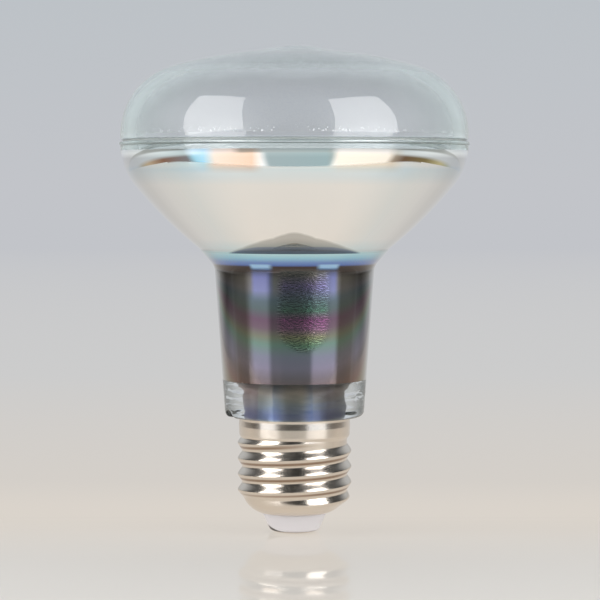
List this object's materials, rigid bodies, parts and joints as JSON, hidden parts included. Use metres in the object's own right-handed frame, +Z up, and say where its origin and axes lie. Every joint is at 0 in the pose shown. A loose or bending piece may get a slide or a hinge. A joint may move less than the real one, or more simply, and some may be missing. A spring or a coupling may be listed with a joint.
{
  "type": "reflector bulb",
  "caption": "Glass reflector lamp with a domed clear lens, mirror-coated bowl, dark coated neck and a nickel-plated screw cap.",
  "frame": {"origin": "centre of the flat tip of the centre contact, the lowest point of the lamp", "axes": "+Z up along the lamp axis from the cap to the lens, -Y towards the viewer of the picture, +X to the viewer's right"},
  "size_m": [0.0804, 0.0804, 0.112],
  "materials": {
    "lens_glass": "clear, stippled inside",
    "body_glass": "clear glass, mirror coat inside the bowl, dark coat inside the neck",
    "sealant": "clear silicone",
    "nickel": "nickel plated",
    "insulator_white": "gloss",
    "contact_nickel": "nickel plated",
    "cement": "matte",
    "heat_sink_metal": "satin",
    "board_white": "white solder mask",
    "package_white": "matte",
    "phosphor": "matte",
    "screw_steel": "zinc plated",
    "wire_red": "gloss",
    "wire_black": "gloss",
    "wire_brown": "gloss",
    "wire_blue": "gloss",
    "sleeve_white": "matte",
    "board_green": "solder mask",
    "can_black": "shrink sleeve",
    "ferrite": "matte",
    "copper": "enamelled",
    "film_box": "gloss",
    "chip_black": "matte",
    "resistor_body": "lacquered"
  },
  "bodies": {
    "root": {"front_lens": "lens_glass", "lens_bond": "sealant", "reflector_body": "body_glass", "cap_shell": "nickel", "cap_insulator": "insulator_white", "centre_contact": "contact_nickel", "cap_cement": "cement", "heat_sink": "heat_sink_metal", "led_board": "board_white", "led_packages": "package_white", "led_phosphors": "phosphor", "board_screws": "screw_steel", "led_lead_positive": "wire_red", "led_lead_negative": "wire_black", "driver_sleeve": "sleeve_white", "driver_board": "board_green", "smoothing_capacitor": "can_black", "output_capacitor": "can_black", "choke_core": "ferrite", "choke_winding": "copper", "film_capacitor": "film_box", "driver_chip": "chip_black", "bridge_rectifier": "chip_black", "fuse_resistor": "resistor_body", "live_lead": "wire_brown", "neutral_lead": "wire_blue"}
  },
  "joints": []
}
